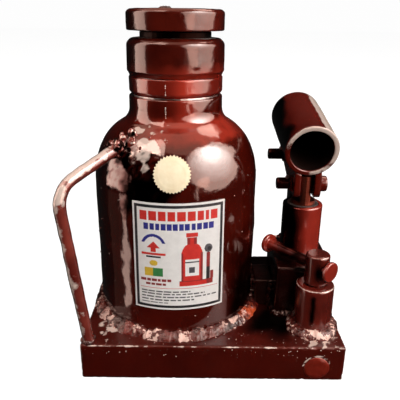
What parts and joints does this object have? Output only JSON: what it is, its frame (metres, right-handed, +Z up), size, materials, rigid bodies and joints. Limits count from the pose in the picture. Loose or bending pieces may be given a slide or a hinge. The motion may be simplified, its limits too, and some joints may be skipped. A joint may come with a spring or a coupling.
{
  "type": "bottle jack",
  "caption": "Hydraulic bottle jack: steel base block, bottle-shaped reservoir, ram with flat saddle, pump with lever socket, release valve with sliding T-bar, carrying handle.",
  "frame": {"origin": "centre of the base block's underside, on the floor", "axes": "+Z up along the ram, -Y towards the front face with the label, +X towards the pump"},
  "size_m": [0.2345, 0.1835, 0.3],
  "materials": {
    "enamel": "gloss maroon enamel brushed on by hand over steel, with runs, dust nibs and worn edges",
    "weld_enamel": "rough weld bead under the same maroon enamel, flaky and glittering on its crests",
    "steel": "plain machined steel",
    "ram_steel": "ground steel with a thin film of oil and paint dust",
    "rubber": "black nitrile rubber",
    "bronze": "turned bronze",
    "copper": "annealed copper gasket",
    "label": null,
    "seal_paper": "cream paper seal with a pinked edge"
  },
  "bodies": {
    "root": {"base_block": "enamel", "base_plug_front": "enamel", "base_plug_side": "enamel", "reservoir_shell": "enamel", "filler_plug": "rubber", "reservoir_weld": "weld_enamel", "carry_handle": "enamel", "label_sheet": "label", "round_seal": "seal_paper", "cylinder_gasket": "copper", "ram_cylinder": "steel", "clamp_ring": "enamel", "top_nut": "enamel", "wiper_ring": "rubber", "guide_bush": "bronze", "gland_seal": "rubber", "pump_block": "enamel", "suction_bridge": "enamel", "suction_strainer": "bronze", "pump_barrel": "enamel", "plunger_wiper": "rubber", "suction_cage": "steel", "delivery_plug": "enamel", "delivery_spring": "steel", "link_lug_left": "enamel", "link_lug_right": "enamel", "pin_c_link": "enamel", "washer_pin_c": "enamel", "split_pin_c": "steel", "valve_housing": "enamel"},
    "ram": {"ram": "ram_steel", "piston_backup_ring": "bronze", "piston_cup_seal": "rubber", "piston_washer": "steel", "piston_nut": "steel", "saddle": "enamel"},
    "plunger": {"plunger": "ram_steel", "plunger_cup_seal": "rubber", "plunger_retainer": "steel"},
    "lever": {"handle_socket": "enamel", "lever_ear_left": "enamel", "lever_ear_right": "enamel", "pin_a_fulcrum": "enamel", "pin_b_plunger": "enamel", "washer_pin_a": "enamel", "washer_pin_b": "enamel", "split_pin_a": "steel", "split_pin_b": "steel"},
    "link": {"fulcrum_link": "enamel"},
    "valve_stem_seal": {"stem_seal": "rubber"},
    "valve_spindle": {"release_spindle": "enamel"},
    "tommy_bar": {"tommy_bar": "enamel", "tommy_bar_head": "enamel"},
    "suction_check": {"suction_ball": "steel"},
    "delivery_check": {"delivery_ball": "steel"},
    "release_check": {"release_ball": "steel"}
  },
  "joints": [
    {"name": "ram_slide", "type": "slide", "parent": "root", "child": "ram", "axis": [0, 0, 1], "range_m": [0, 0.16]},
    {"name": "pump_lever_hinge", "type": "hinge", "parent": "plunger", "child": "lever", "pos_m": [0.083, -0.0028, 0.1516], "axis": [-1, 0, 0], "range_deg": [0, 26]},
    {"name": "plunger_slide", "type": "slide", "parent": "root", "child": "plunger", "axis": [0, 0, 1], "range_m": [0, 0.0217]},
    {"name": "link_hinge", "type": "hinge", "parent": "root", "child": "link", "pos_m": [0.083, 0.044, 0.071], "axis": [-1, 0, 0], "range_deg": [0, 1.9]},
    {"name": "release_valve_turn", "type": "hinge", "parent": "valve_stem_seal", "child": "valve_spindle", "pos_m": [0.0889, -0.0545, 0.094], "axis": [0, 0, 1], "range_deg": [0, 100]},
    {"name": "release_valve_lift", "type": "slide", "parent": "root", "child": "valve_stem_seal", "axis": [0, 0, 1], "range_m": [0, 0.00042]},
    {"name": "release_ball_lift", "type": "slide", "parent": "root", "child": "release_check", "axis": [0, 0, 1], "range_m": [0, 0.00042]},
    {"name": "tommy_bar_slide", "type": "slide", "parent": "valve_spindle", "child": "tommy_bar", "axis": [0.617, -0.7869, 0], "range_m": [0, 0.036]},
    {"name": "suction_ball_lift", "type": "slide", "parent": "root", "child": "suction_check", "axis": [0, 0, 1], "range_m": [0, 0.0008]},
    {"name": "delivery_ball_lift", "type": "slide", "parent": "root", "child": "delivery_check", "axis": [0, 0, 1], "range_m": [0, 0.0006], "stiffness_N_per_m": 150, "springref_m": -0.003, "deforming": ["delivery_spring"]}
  ],
  "couplings": [
    {"joint": "plunger_slide", "follows": "pump_lever_hinge", "m_per_rad": 0.047254},
    {"joint": "link_hinge", "follows": "pump_lever_hinge", "ratio": 0.0723},
    {"joint": "release_valve_lift", "follows": "release_valve_turn", "m_per_rad": 0.000239},
    {"joint": "release_ball_lift", "follows": "release_valve_turn", "m_per_rad": 0.000239}
  ]
}
